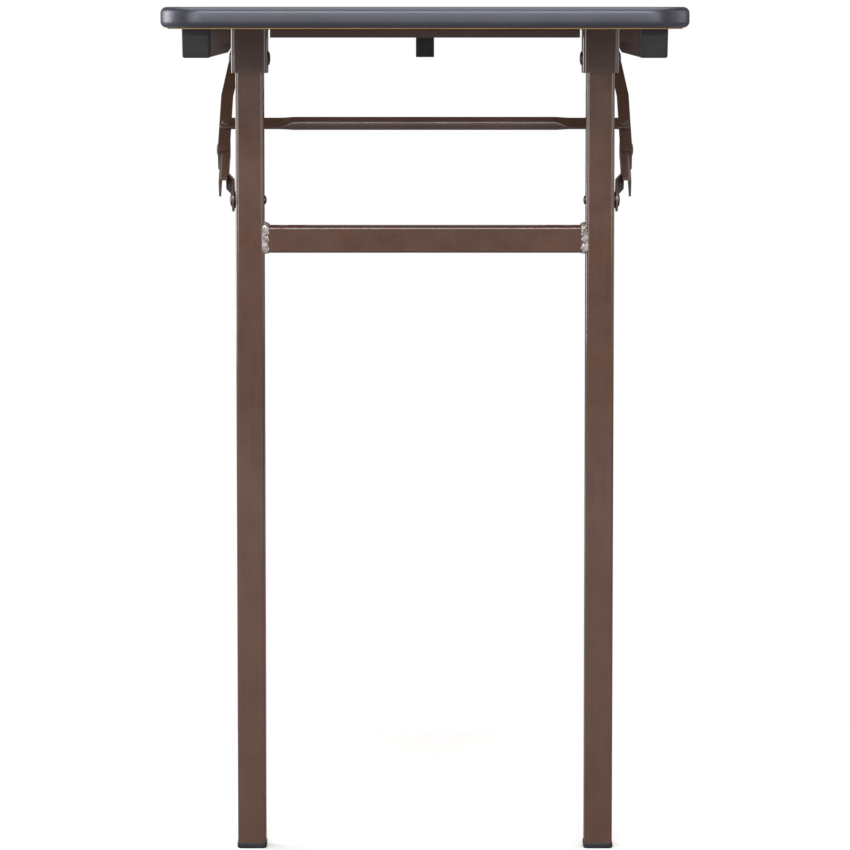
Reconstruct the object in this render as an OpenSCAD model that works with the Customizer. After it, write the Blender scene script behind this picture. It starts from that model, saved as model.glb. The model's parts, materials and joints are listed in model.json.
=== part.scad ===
// A folding seminar table: a plywood top with bull-nose edging on two leg frames that fold flat under it.
// Each frame is held upright by two folding braces that a tie bar joins.
// The origin is on the floor under the middle of the top. X is across, Y along and Z up, in millimetres.
// One end is drawn in an end frame: x out from the middle, y inboard from the leg plane, z up.

/* [Tabletop] */
// Length of the tabletop, edging included
top_length = 1829; // [1500:1:2440]
// Width of the tabletop, edging included
top_width = 457; // [380:1:760]
// Height of the top surface above the floor
table_height = 762; // [620:1:765]
// Thickness of the plywood
top_thick = 19; // [15:0.5:30]
// Radius of the tabletop's corners, seen from above
corner_r = 38; // [20:1:80]
// How far the edging stands out from the plywood
edge_thick = 6; // [4:0.5:8]
// How much of the plywood shows below the edging
edge_lip = 1; // [0:0.1:2]
// Radius of the edging's bull nose
nose_r = 5.5; // [3:0.5:7]
// Length of the tongue that holds the edging
tongue_len = 8; // [5:0.5:12]
// Thickness of that tongue
tongue_t = 2; // [1.5:0.1:3]

/* [Leg frames] */
// Side of the square leg tube
leg_w = 25.4; // [22:0.1:32]
// Wall of the leg tube
leg_wall = 1.2; // [1:0.1:2]
// Outer corner radius of the leg tube
leg_r = 3; // [2:0.1:4]
// From the top's side to the middle of a leg
leg_side_inset = 71.2; // [65:0.1:120]
// From the top's end to the middle of a leg
leg_end_inset = 185; // [170:1:300]
// From the underside of the top to the leg's pivot
pivot_drop = 27; // [25:0.1:31]
// Side of the square crossbar tube
bar_w = 24.3; // [19:0.1:25]
// Wall of the crossbar tube
bar_wall = 1.2; // [1:0.1:2]
// From the leg's pivot down to the middle of the crossbar
bar_drop = 162; // [150:1:220]
// Reach of a weld bead along the crossbar
weld_reach = 4.5; // [3:0.1:6]
// Height of the foot cap that shows
cap_h = 5; // [3:0.5:10]
// How far the foot cap stands out beyond the leg
cap_proud = 0.6; // [0.2:0.1:1.5]
// Length of the cap's plug in the leg
plug_len = 18; // [10:1:30]

/* [Leg brackets] */
// Steel thickness of the leg brackets
bracket_t = 2; // [1.5:0.1:3]
// Outer bend radius of the leg brackets
bracket_r = 3.5; // [2.5:0.1:5]
// Room between the leg and each flange, which a washer fills
flange_gap = 1.6; // [1.5:0.1:3]
// How far the leg bracket hangs below the top
bracket_drop = 40; // [37:0.5:46]
// How far the flanges reach inboard of the leg's pivot
flange_reach = 17; // [14:0.5:22]
// How far the screw plate reaches inboard of the leg's pivot
plate_reach = 52; // [50:1:70]
// Radius of the leg's pivot rivet
pivot_r = 4; // [3:0.1:5]
// Radius of that rivet's heads
pivot_head_r = 6.3; // [5:0.1:7]

/* [Braces] */
// From the leg's pivot down to the brace's rivet in the leg
brace_drop = 127; // [115:1:140]
// From the leg plane inboard to the brace's pin under the top
brace_reach = 205; // [195:1:225]
// Steel thickness of the links
link_t = 2; // [1.5:0.1:2.5]
// From the leg's side to the outer face of the upper link
brace_out = 18.4; // [17:0.1:24]
// Width of the upper link's web
link_w = 11; // [10:0.1:13]
// Clearance of the tie bar's flattened ends over the folded legs
fold_clear = 1.8; // [1:0.1:2.3]
// How far the links' flanges reach past the pin line
flange_tip = 7; // [5:0.1:9]
// How far the upper link's web runs past the elbow, as the brace's stop
stop_len = 22; // [15:1:35]
// How far the upper link leans inwards on its way to the pin
brace_toe = 6; // [0.5:0.1:6.5]
// Radius of the brace rivets
rivet_r = 3; // [2.5:0.1:3.5]
// Diameter of the tie bar
tie_d = 12; // [10:0.1:14]
// From the elbow along the upper link to the tie bar
tie_at = 19.2; // [15:0.1:22]
// Width of the tie bar's flattened ends
tie_flat_w = 16; // [12:0.5:18]
// Thickness of the tie bar's flattened ends
tie_flat_t = 3; // [2:0.1:4]

/* [Bumpers, catches and rails] */
// Side of a corner bumper
bumper_w = 24.6; // [20:0.1:35]
// Depth of a corner bumper below the top
bumper_h = 25; // [15:0.5:40]
// From the top's side to a bumper
bumper_side_inset = 18.5; // [15:0.5:30]
// From the top's end to a bumper
bumper_end_inset = 32; // [20:1:60]
// Width of a leg catch
catch_w = 16.9; // [12:0.1:30]
// Depth of a leg catch below the top
catch_h = 27.6; // [24:0.1:32]
// Thickness of the catch's jaws and base
catch_t = 4.5; // [3:0.1:6]
// Depth of a cross rail below the top
rail_h = 8.5; // [6:0.1:12]
// Width of a cross rail
rail_w = 28; // [20:1:40]
// Steel thickness of a cross rail
rail_t = 1.5; // [1:0.1:2]
// Gap from a cross rail's end to the leg bracket
rail_gap = 2.4; // [1:0.1:6]

/* [Fits] */
// Clearance round a pin, rivet or screw in its hole
pin_clear = 0.05; // [0.02:0.01:0.1]
// Gap between flat faces that slide past each other
slide_gap = 0.2; // [0.1:0.05:0.4]
// Clearance of the edging's tongue in its groove
groove_clear = 0.1; // [0.05:0.05:0.3]

/* [Hidden] */
$fn = 48;
EPS = 0.1;
FRONT = -1;
BACK = 1;
LEFT = -1;
RIGHT = 1;

under_z = table_height - top_thick;
leg_x = top_width / 2 - leg_side_inset;
leg_y = top_length / 2 - leg_end_inset;
leg_out = leg_x + leg_w / 2;
leg_in = leg_x - leg_w / 2;
pivot_z = under_z - pivot_drop;
bar_z = pivot_z - bar_drop;

bracket_half = leg_w / 2 + flange_gap + bracket_t;
web_gap = 0.3;
web_in = leg_w / 2 + web_gap;
web_out = web_in + bracket_t;
head_t = 2.3;

// The brace's pin is level with the leg's pivot, so that the folded brace lies flat along the folded leg.
brace_z = pivot_z;
elbow_span = norm([brace_reach, brace_drop]);
folded_span = brace_reach - brace_drop;
lower_len = (elbow_span - folded_span) / 2;
upper_len = (elbow_span + folded_span) / 2;
brace_slope = atan2(brace_drop, brace_reach);
elbow_y = lower_len * cos(brace_slope);
elbow_z = pivot_z - brace_drop + lower_len * sin(brace_slope);

// Across the brace, from the leg's side outwards
leg_washer_t = 1.2;
ear_in = leg_out + leg_washer_t + slide_gap;
upper_out = leg_out + brace_out;
upper_in = upper_out - link_w;
lower_out = upper_out - link_t - 1.5 * slide_gap;
lower_w = 8.1;
lower_in = lower_out - lower_w;
lower_end = 66;
joggle_start = 54;
joggle_len = 12;
ear_r = 10.5;
elbow_r = 9;
pin_ear_r = 9;
pin_ear_t = 2.4;
pin_out = upper_out - brace_toe;
pin_ear_out = pin_out - link_t - 1.5 * slide_gap;
link_bend = 2.6;
// From the pin line to the outer face of the upper link's web
web_rise = leg_w / 2 + fold_clear;
lower_rise = web_rise - link_t - slide_gap;
link_head_r = 6;
rivet_head_t = 2;
web_stop = 16;
// The stretch of the upper link that leans, measured from the elbow
toe_from = lower_end + 4;
toe_to = upper_len - web_stop - 4;

tie_rise = web_rise + tie_flat_t / 2;
tie_round_half = leg_in - 25;
tie_taper = 13;
tie_wall = 1.2;
tie_rivet_r = 2.5;
tie_rivet_head_r = 4;
tie_rivet_x = upper_out - link_t - 0.8 - tie_rivet_head_r;

brace_plate_w = 24 + brace_toe;
brace_plate_len = 44;
brace_plate_t = 2.4;

screw_r = 2;
screw_head_r = 4;
screw_head_t = 2.2;
screw_bite = 12;
// Screw places in the end frame, as x and y
leg_plate_screws = [[-9, 27], [9, 27], [0, 42]];
brace_screw_in = 13;
brace_screw_x = upper_out + brace_screw_in;
brace_plate_screws = [for (y = [-brace_screw_in, brace_screw_in]) [brace_screw_x, brace_reach + y]];
catch_lobe = 22;
jaw_gap = 2.5;
jaw_in = bar_w / 2 + jaw_gap;
catch_half = jaw_in + catch_t;
catch_screws = [-catch_half - catch_lobe / 2, catch_half + catch_lobe / 2];
rail_half = leg_x - bracket_half - rail_gap;
rail_r = 2.5;
rail_screw_inset = 30;
rail_screws = [rail_screw_inset - rail_half, 0, rail_half - rail_screw_inset];
bumper_x = top_width / 2 - bumper_side_inset - bumper_w / 2;
bumper_y = bumper_end_inset + bumper_w / 2 - leg_end_inset;
bumper_bore_r = 5;
bumper_floor = 6;

// Colours of the finishes
WOOD = [0.71, 0.52, 0.32];
VINYL = [0.29, 0.29, 0.33];
PAINT = [0.40, 0.29, 0.25];
BLACK = [0.16, 0.16, 0.17];
ZINC = [0.62, 0.62, 0.64];

// Turns the end frame to an end and a side of the table
module at_end(end, side = RIGHT) {
  mirror([side == LEFT ? 1 : 0, 0, 0])
    mirror([0, end == BACK ? 1 : 0, 0])
      translate([0, -leg_y, 0])
        children();
}

// Extrudes a side view, drawn with y to the right and z upwards, from x0 to x1
module across(x0, x1) {
  translate([x0, 0, 0])
    rotate([90, 0, 90])
      linear_extrude(x1 - x0)
        children();
}

// Extrudes an end view, drawn with x to the right and z upwards, from y0 to y1
module along(y0, y1) {
  translate([0, y1, 0])
    rotate([90, 0, 0])
      linear_extrude(y1 - y0)
        children();
}

// A rod along x with its middle at y and z
module rod(x0, x1, y, z, r) {
  across(x0, x1)
    translate([y, z])
      circle(r);
}

// A rectangle with round corners, about the origin
module rounded_rect(w, h, r) {
  square([w - 2 * r, h], center = true);
  square([w, h - 2 * r], center = true);
  for (x = [-1, 1], y = [-1, 1])
    translate([x * (w / 2 - r), y * (h / 2 - r)])
      circle(r);
}

// The section of a square tube
module tube_section(w, wall, r) {
  difference() {
    rounded_rect(w, w, r);
    rounded_rect(w - 2 * wall, w - 2 * wall, r - wall);
  }
}

// A rectangle below and left of the origin, with the corner at the origin rounded
module corner_block(w, h, r) {
  translate([-w, -h])
    square([w, h - r]);
  translate([-w, -h])
    square([w - r, h]);
  translate([-r, -r])
    circle(r);
}

// An angle section with its outer bend at the origin
module angle_section(w, h, t, r) {
  difference() {
    corner_block(w, h, r);
    translate([-t, -t])
      corner_block(w, h, r - t);
  }
}

// Screws upwards into the top: a pan head below z, and a shank above it
module top_screw(z) {
  translate([0, 0, z])
    cylinder(h = under_z + screw_bite - z, r = screw_r);
  translate([0, 0, z - screw_head_t])
    cylinder(h = screw_head_t, r = screw_head_r);
}

// The hole for a top screw, from below z up into the top
module screw_hole(z) {
  translate([0, 0, z])
    cylinder(h = under_z + screw_bite + 1 - z, r = screw_r + pin_clear);
}

// Puts children at every screw of one end, on both sides
module at_all_screws() {
  for (side = [-1, 1]) {
    for (p = leg_plate_screws)
      translate([side * leg_x + p[0], p[1], 0])
        children();
    for (p = brace_plate_screws)
      translate([side * p[0], p[1], 0])
        children();
    translate([side * bumper_x, bumper_y, 0])
      children();
  }
  for (y = catch_screws)
    translate([0, bar_drop + y, 0])
      children();
  for (x = rail_screws)
    translate([x, 0, 0])
      children();
}

// ---- The top ----

module panel_outline(inset) {
  rounded_rect(top_width - 2 * inset, top_length - 2 * inset, corner_r - inset);
}

module top_panel() {
  groove_t = tongue_t + 2 * groove_clear;
  color(WOOD)
    difference() {
      translate([0, 0, under_z])
        linear_extrude(top_thick)
          panel_outline(edge_thick);
      translate([0, 0, under_z + (top_thick - groove_t) / 2])
        linear_extrude(groove_t)
          difference() {
            panel_outline(edge_thick - 1);
            panel_outline(edge_thick + tongue_len + groove_clear);
          }
      for (end = [FRONT, BACK])
        at_end(end)
          at_all_screws()
            screw_hole(under_z - 1);
    }
}

// The edging's section: x out from the plywood's edge, y up from the underside
module edge_section() {
  band_h = top_thick - edge_lip;
  intersection() {
    translate([0, edge_lip])
      square([edge_thick, band_h]);
    translate([edge_thick - band_h / 2, edge_lip + band_h / 2])
      rounded_rect(band_h, band_h, nose_r);
  }
  translate([-tongue_len, (top_thick - tongue_t) / 2])
    square([tongue_len + EPS, tongue_t]);
}

module edge_band() {
  plan_r = corner_r - edge_thick;
  side_x = top_width / 2 - corner_r;
  side_y = top_length / 2 - corner_r;
  color(VINYL)
    translate([0, 0, under_z])
      for (turn = [0, 1]) {
        rotate([0, 0, 180 * turn]) {
          translate([side_x + plan_r, side_y, 0])
            rotate([90, 0, 0])
              linear_extrude(2 * side_y)
                edge_section();
          translate([-side_x, side_y + plan_r, 0])
            rotate([90, 0, 90])
              linear_extrude(2 * side_x)
                edge_section();
          translate([side_x, side_y, 0])
            rotate_extrude(angle = 90)
              translate([plan_r, 0])
                edge_section();
          translate([-side_x, side_y, 0])
            rotate([0, 0, 90])
              rotate_extrude(angle = 90)
                translate([plan_r, 0])
                  edge_section();
        }
      }
}

// A moulded block with a counterbored screw hole
module bumper(end, side) {
  color(BLACK)
    at_end(end, side)
      translate([bumper_x, bumper_y, 0])
        difference() {
          intersection() {
            translate([0, 0, under_z - bumper_h])
              linear_extrude(bumper_h)
                rounded_rect(bumper_w, bumper_w, 2.5);
            along(-bumper_w / 2, bumper_w / 2)
              translate([0, under_z - bumper_h / 2 + 1])
                rounded_rect(bumper_w, bumper_h + 2, 1.5);
          }
          translate([0, 0, under_z - bumper_h - 1])
            cylinder(h = bumper_h + 1 - bumper_floor, r = bumper_bore_r);
          screw_hole(under_z - bumper_floor - 1);
        }
}

// A clip that the folded frame's crossbar presses into
module leg_catch(end) {
  tip = 1.6;
  base_z = under_z - catch_t;
  low_z = under_z - catch_h;
  half = [
    [catch_half + catch_lobe, under_z],
    [catch_half + catch_lobe, base_z],
    [catch_half, base_z],
    [catch_half, low_z + tip],
    [catch_half - tip, low_z],
    [jaw_in + tip, low_z],
    [jaw_in, low_z + tip],
    [jaw_in, base_z]
  ];
  other_half = [for (i = [len(half) - 1:-1:0]) [-half[i][0], half[i][1]]];
  color(BLACK)
    at_end(end)
      translate([0, bar_drop, 0])
        difference() {
          across(-catch_w / 2, catch_w / 2)
            polygon(concat(half, other_half));
          for (y = catch_screws)
            translate([0, y, 0])
              screw_hole(base_z - 1);
        }
}

// A shallow channel between the leg brackets, open downwards, that hides its screws' heads
module cross_rail(end) {
  color(PAINT)
    at_end(end)
      difference() {
        across(-rail_half, rail_half)
          intersection() {
            translate([-rail_w / 2, under_z - rail_h])
              square([rail_w, rail_h]);
            difference() {
              translate([0, under_z - rail_h])
                rounded_rect(rail_w, 2 * rail_h, rail_r);
              translate([0, under_z - rail_h])
                rounded_rect(rail_w - 2 * rail_t, 2 * (rail_h - rail_t), rail_r - rail_t);
            }
          }
        for (x = rail_screws)
          translate([x, 0, 0])
            screw_hole(under_z - rail_t - 1);
      }
}

// ---- Leg brackets and brace brackets ----

// A folded steel bracket: a web towards the table's end, two flanges and a screw plate
module leg_bracket(end, side) {
  deep = web_out + flange_reach;
  foot_r = 6;
  plate_w = 2 * bracket_half - 1;
  plate_r = 3;
  color(PAINT)
    at_end(end, side)
      translate([leg_x, 0, 0])
        difference() {
          union() {
            intersection() {
              translate([0, deep - web_out, under_z - bracket_drop])
                linear_extrude(bracket_drop)
                  difference() {
                    rounded_rect(2 * bracket_half, 2 * deep, bracket_r);
                    rounded_rect(
                      2 * (bracket_half - bracket_t),
                      2 * (deep - bracket_t),
                      bracket_r - bracket_t
                    );
                    translate([-bracket_half - 1, 0])
                      square([2 * bracket_half + 2, deep + 1]);
                  }
              across(-bracket_half, bracket_half) {
                translate([-web_out, under_z - bracket_drop])
                  square([deep - foot_r, bracket_drop]);
                translate([-web_out, under_z - bracket_drop + foot_r])
                  square([deep, bracket_drop - foot_r]);
                translate([flange_reach - foot_r, under_z - bracket_drop + foot_r])
                  circle(foot_r);
              }
            }
            translate([0, plate_reach - (plate_reach + web_in) / 2, under_z - bracket_t])
              linear_extrude(bracket_t)
                rounded_rect(plate_w, plate_reach + web_in, plate_r);
          }
          rod(-bracket_half - 1, bracket_half + 1, 0, pivot_z, pivot_r + pin_clear);
          for (p = leg_plate_screws)
            translate([p[0], p[1], 0])
              screw_hole(under_z - bracket_t - 1);
        }
}

// A pressed bracket under the top: a screw plate, an ear for the brace's pin and two end gussets
module brace_bracket(end, side) {
  ear_x = pin_ear_out - pin_ear_t;
  y0 = brace_reach - brace_plate_len / 2;
  y1 = brace_reach + brace_plate_len / 2;
  gusset_in = pin_out + 1.6;
  gusset_out = ear_x + brace_plate_w;
  gusset_z = under_z - 14.5;
  slant = 6;
  stop_x = gusset_out - 5;
  stop_slant = 2.5;
  stop_z = under_z - 29;
  color(PAINT)
    at_end(end, side)
      difference() {
        union() {
          translate([ear_x, y0, under_z - brace_plate_t])
            cube([brace_plate_w, brace_plate_len, brace_plate_t]);
          across(ear_x, pin_ear_out) {
            translate([brace_reach, brace_z])
              circle(pin_ear_r);
            translate([brace_reach - pin_ear_r, brace_z])
              square([2 * pin_ear_r, pivot_drop]);
          }
          along(y0, y0 + brace_plate_t)
            polygon([
              [gusset_in, under_z - EPS],
              [gusset_out - slant, under_z - EPS],
              [gusset_out, gusset_z],
              [gusset_in, gusset_z]
            ]);
          along(y1 - brace_plate_t, y1)
            polygon([
              [gusset_in, under_z - EPS],
              [stop_x, under_z - EPS],
              [stop_x, gusset_z],
              [stop_x + stop_slant, stop_z],
              [gusset_in + stop_slant, stop_z + 2 * stop_slant],
              [gusset_in, stop_z + 9]
            ]);
        }
        rod(ear_x - 1, pin_ear_out + 1, brace_reach, brace_z, rivet_r + pin_clear);
        for (p = brace_plate_screws)
          translate([p[0], p[1], 0])
            screw_hole(under_z - brace_plate_t - 1);
      }
}

// ---- Fasteners fixed to the top ----

module leg_bracket_screws() {
  color(ZINC)
    for (end = [FRONT, BACK], side = [LEFT, RIGHT], p = leg_plate_screws)
      at_end(end, side)
        translate([leg_x + p[0], p[1], 0])
          top_screw(under_z - bracket_t);
}

module brace_bracket_screws() {
  color(ZINC)
    for (end = [FRONT, BACK], side = [LEFT, RIGHT], p = brace_plate_screws)
      at_end(end, side)
        translate([p[0], p[1], 0])
          top_screw(under_z - brace_plate_t);
}

module rail_screws_group() {
  color(ZINC)
    for (end = [FRONT, BACK], x = rail_screws)
      at_end(end)
        translate([x, 0, 0])
          top_screw(under_z - rail_t);
}

module catch_screws_group() {
  color(ZINC)
    for (end = [FRONT, BACK], y = catch_screws)
      at_end(end)
        translate([0, bar_drop + y, 0])
          top_screw(under_z - catch_t);
}

module bumper_screws() {
  color(ZINC)
    for (end = [FRONT, BACK], side = [LEFT, RIGHT])
      at_end(end, side)
        translate([bumper_x, bumper_y, 0])
          top_screw(under_z - bumper_floor);
}

// The rivets that the legs turn on, with a head on each flange
module leg_pivot_rivets() {
  color(ZINC)
    for (end = [FRONT, BACK], side = [LEFT, RIGHT])
      at_end(end, side)
        translate([leg_x, 0, 0]) {
          rod(-bracket_half - head_t, bracket_half + head_t, 0, pivot_z, pivot_r);
          rod(-bracket_half - head_t, -bracket_half, 0, pivot_z, pivot_head_r);
          rod(bracket_half, bracket_half + head_t, 0, pivot_z, pivot_head_r);
        }
}

// The washers that keep each leg in the middle of its bracket
module pivot_washers() {
  washer_t = flange_gap - slide_gap;
  washer_r = pivot_r + 5;
  color(ZINC)
    for (end = [FRONT, BACK], side = [LEFT, RIGHT], face = [-1, 1])
      at_end(end, side)
        translate([leg_x + face * (leg_w / 2 + slide_gap + washer_t / 2), 0, 0])
          across(-washer_t / 2, washer_t / 2)
            translate([0, pivot_z])
              difference() {
                circle(washer_r);
                circle(pivot_r + pin_clear);
              }
}

// The rivets that the upper links turn on, fixed in the brace brackets' ears
module brace_pins() {
  color(ZINC)
    for (end = [FRONT, BACK], side = [LEFT, RIGHT])
      at_end(end, side) {
        ear_x = pin_ear_out - pin_ear_t;
        rod(ear_x - rivet_head_t, pin_out + 1, brace_reach, brace_z, rivet_r);
        rod(ear_x - rivet_head_t, ear_x, brace_reach, brace_z, link_head_r);
        rod(pin_out + slide_gap, pin_out + 1.4, brace_reach, brace_z, link_head_r);
      }
}

// ---- Leg frame ----

// A square tube, round-ended at its pivot so that it turns inside the bracket
module leg(end, side) {
  color(PAINT)
    at_end(end, side)
      translate([leg_x, 0, 0])
        difference() {
          intersection() {
            linear_extrude(under_z)
              tube_section(leg_w, leg_wall, leg_r);
            across(-leg_w / 2, leg_w / 2) {
              translate([-leg_w / 2, cap_h])
                square([leg_w, pivot_z - cap_h]);
              translate([0, pivot_z])
                circle(leg_w / 2);
            }
          }
          rod(-leg_w, leg_w, 0, pivot_z, pivot_r + pin_clear);
          rod(-leg_w, leg_w, 0, pivot_z - brace_drop, rivet_r + pin_clear);
        }
}

module crossbar(end) {
  color(PAINT)
    at_end(end)
      across(-leg_in, leg_in)
        translate([0, bar_z])
          tube_section(bar_w, bar_wall, leg_r);
}

// A fillet of weld all round each end of the crossbar
module weld_beads(end) {
  rise = (leg_w - bar_w) / 2;
  color(ZINC)
    at_end(end)
      for (side = [LEFT, RIGHT])
        mirror([side == LEFT ? 1 : 0, 0, 0])
          difference() {
            union() {
              along(-bar_w / 2, bar_w / 2)
                for (up = [-1, 1])
                  polygon([
                    [leg_in, bar_z + up * (bar_w / 2 - leg_r)],
                    [leg_in, bar_z + up * (bar_w / 2 + weld_reach)],
                    [leg_in - weld_reach, bar_z + up * (bar_w / 2 - leg_r)]
                  ]);
              translate([0, 0, bar_z - bar_w / 2])
                linear_extrude(bar_w)
                  for (out = [-1, 1])
                    polygon([
                      [leg_in, out * (bar_w / 2 - leg_r)],
                      [leg_in, out * (bar_w / 2 + rise)],
                      [leg_in - weld_reach, out * (bar_w / 2 - leg_r)]
                    ]);
            }
            across(leg_in - 2 * weld_reach, leg_in + 1)
              translate([0, bar_z])
                rounded_rect(bar_w, bar_w, leg_r);
          }
}

// A cap under the leg with a plug inside it
module foot_cap(end, side) {
  cap_w = leg_w + 2 * cap_proud;
  plug_w = leg_w - 2 * leg_wall - 2 * slide_gap;
  edge_r = 1.6;
  color(BLACK)
    at_end(end, side)
      translate([leg_x, 0, 0]) {
        intersection() {
          linear_extrude(cap_h)
            rounded_rect(cap_w, cap_w, leg_r + cap_proud);
          along(-cap_w / 2, cap_w / 2)
            translate([0, cap_h])
              rounded_rect(cap_w, 2 * cap_h, edge_r);
          across(-cap_w / 2, cap_w / 2)
            translate([0, cap_h])
              rounded_rect(cap_w, 2 * cap_h, edge_r);
        }
        translate([0, 0, cap_h - EPS])
          linear_extrude(plug_len + EPS)
            rounded_rect(plug_w, plug_w, leg_r - leg_wall);
      }
}

// The part of each brace rivet that stays in the leg: its shank, its tail and the washer outside
module leg_rivets(end) {
  z = pivot_z - brace_drop;
  tail_t = 2.2;
  tail_r = 4;
  washer_r = 7.5;
  color(ZINC)
    for (side = [LEFT, RIGHT])
      at_end(end, side) {
        rod(leg_in - tail_t, leg_out + leg_washer_t, 0, z, rivet_r);
        rod(leg_in - tail_t, leg_in, 0, z, tail_r);
        rod(leg_out, leg_out + leg_washer_t, 0, z, washer_r);
      }
}

// ---- Braces ----

// Turns to a brace's own frame: y from its elbow to its pin, z square to it
module brace_frame() {
  translate([0, elbow_y, elbow_z])
    rotate([brace_slope, 0, 0])
      children();
}

// A channel with one flange that joggles inwards and ends in an ear on the leg's rivet
module lower_link(end, side) {
  ear_end = lower_len + ear_r + 1;
  color(PAINT)
    at_end(end, side)
      brace_frame()
        difference() {
          union() {
            intersection() {
              translate([lower_out, -lower_end, lower_rise])
                rotate([-90, 0, 0])
                  linear_extrude(lower_end + elbow_r)
                    mirror([0, 1, 0])
                      angle_section(lower_w, lower_rise + elbow_r, link_t, link_bend);
              across(lower_in, lower_out) {
                translate([-lower_end, -flange_tip])
                  square([lower_end, lower_rise + flange_tip]);
                circle(elbow_r);
              }
            }
            intersection() {
              translate([0, 0, -ear_r])
                linear_extrude(lower_rise + ear_r)
                  polygon([
                    [lower_in, elbow_r],
                    [lower_in + link_t, elbow_r],
                    [lower_in + link_t, -joggle_start],
                    [ear_in + link_t, -joggle_start - joggle_len],
                    [ear_in + link_t, -ear_end],
                    [ear_in, -ear_end],
                    [ear_in, -joggle_start - joggle_len],
                    [lower_in, -joggle_start]
                  ]);
              across(ear_in - 1, lower_in + link_t + 1) {
                translate([-lower_end, -flange_tip])
                  square([lower_end, lower_rise + flange_tip]);
                circle(elbow_r);
                polygon([
                  [-lower_len, ear_r],
                  [-lower_end, lower_rise],
                  [-lower_end, -flange_tip],
                  [-lower_len, -ear_r]
                ]);
                translate([-lower_len, 0])
                  circle(ear_r);
              }
            }
          }
          rod(lower_out - link_t - 1, lower_out + 1, 0, 0, rivet_r + pin_clear);
          rod(ear_in - 1, ear_in + link_t + 1, -lower_len, 0, rivet_r + pin_clear);
        }
}

// The head of the rivet that joins a lower link to its leg, with its stub in the ear
module link_head(end, side) {
  color(ZINC)
    at_end(end, side)
      brace_frame() {
        rod(ear_in, ear_in + link_t + 1, -lower_len, 0, rivet_r);
        rod(ear_in + link_t, ear_in + link_t + rivet_head_t, -lower_len, 0, link_head_r);
      }
}

// A web that stops the elbow, on a flange that leans inwards to the brace's pin and turns on it
module upper_link(end, side) {
  web_end = upper_len - web_stop;
  flange_end = upper_len + pin_ear_r;
  color(PAINT)
    at_end(end, side)
      brace_frame()
        difference() {
          intersection() {
            union() {
              translate([0, 0, -pin_ear_r])
                linear_extrude(pin_ear_r + web_rise + 1)
                  polygon([
                    [upper_out, -stop_len],
                    [upper_out, toe_from],
                    [pin_out, toe_to],
                    [pin_out, flange_end],
                    [pin_out - link_t, flange_end],
                    [pin_out - link_t, toe_to],
                    [upper_out - link_t, toe_from],
                    [upper_out - link_t, -stop_len]
                  ]);
              translate([0, 0, web_rise - link_t])
                linear_extrude(link_t + 1)
                  polygon([
                    [upper_out, -stop_len],
                    [upper_out, toe_from],
                    [pin_out, toe_to],
                    [pin_out, web_end],
                    [pin_out - link_w, web_end],
                    [pin_out - link_w, toe_to],
                    [upper_in, toe_from],
                    [upper_in, -stop_len]
                  ]);
            }
            across(upper_in - brace_toe - 1, upper_out + 1) {
              polygon([
                [-stop_len, -flange_tip],
                [upper_len, -pin_ear_r],
                [upper_len, pin_ear_r],
                [web_end, web_rise],
                [-stop_len, web_rise]
              ]);
              translate([upper_len, 0])
                circle(pin_ear_r);
            }
          }
          rod(upper_out - link_t - 1, upper_out + 1, 0, 0, rivet_r + pin_clear);
          rod(pin_out - link_t - 1, pin_out + 1, upper_len, 0, rivet_r + pin_clear);
          translate([tie_rivet_x, tie_at, 0])
            cylinder(h = 2 * web_rise, r = tie_rivet_r + pin_clear);
        }
}

// A round tube with flattened ends that lie on the upper links' webs, and a drain hole
module tie_bar(end) {
  tie_end = upper_out - 1;
  pad_r = 4;
  drain_r = 2;
  color(PAINT)
    at_end(end)
      brace_frame()
        difference() {
          union() {
            rod(-tie_round_half, tie_round_half, tie_at, tie_rise, tie_d / 2);
            for (side = [LEFT, RIGHT])
              mirror([side == LEFT ? 1 : 0, 0, 0]) {
                hull() {
                  rod(tie_round_half - EPS, tie_round_half, tie_at, tie_rise, tie_d / 2, $fn = 32);
                  translate([
                    tie_round_half + tie_taper,
                    tie_at - tie_flat_w / 2,
                    tie_rise - tie_flat_t / 2
                  ])
                    cube([EPS, tie_flat_w, tie_flat_t]);
                }
                translate([0, tie_at, tie_rise - tie_flat_t / 2])
                  linear_extrude(tie_flat_t) {
                    translate([tie_round_half + tie_taper, -tie_flat_w / 2])
                      square([tie_end - tie_round_half - tie_taper - pad_r, tie_flat_w]);
                    translate([tie_end - tie_flat_w / 2, 0])
                      rounded_rect(tie_flat_w, tie_flat_w, pad_r);
                  }
              }
          }
          rod(1 - tie_round_half, tie_round_half - 1, tie_at, tie_rise, tie_d / 2 - tie_wall);
          translate([0, tie_at, tie_rise - tie_d])
            cylinder(h = tie_d, r = drain_r);
          for (x = [-tie_rivet_x, tie_rivet_x])
            translate([x, tie_at, 0])
              cylinder(h = 2 * tie_rise, r = tie_rivet_r + pin_clear);
        }
}

module tie_rivets(end) {
  low = web_rise - link_t;
  high = web_rise + tie_flat_t;
  low_head_t = 1.6;
  top_head_t = 1.8;
  color(ZINC)
    at_end(end)
      brace_frame()
        for (x = [-tie_rivet_x, tie_rivet_x])
          translate([x, tie_at, 0]) {
            translate([0, 0, low - low_head_t])
              cylinder(h = high + top_head_t - low + low_head_t, r = tie_rivet_r);
            translate([0, 0, low - low_head_t])
              cylinder(h = low_head_t, r = tie_rivet_head_r);
            translate([0, 0, high])
              cylinder(h = top_head_t, r = tie_rivet_head_r + 0.8);
          }
}

// The rivets that the lower links turn on, fixed in the upper links
module elbow_rivets(end) {
  inner = lower_out - link_t - slide_gap;
  color(ZINC)
    for (side = [LEFT, RIGHT])
      at_end(end, side)
        brace_frame() {
          rod(inner - rivet_head_t, upper_out + rivet_head_t, 0, 0, rivet_r);
          rod(inner - rivet_head_t, inner, 0, 0, link_head_r - 0.5);
          rod(upper_out, upper_out + rivet_head_t, 0, 0, link_head_r);
        }
}

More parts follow.
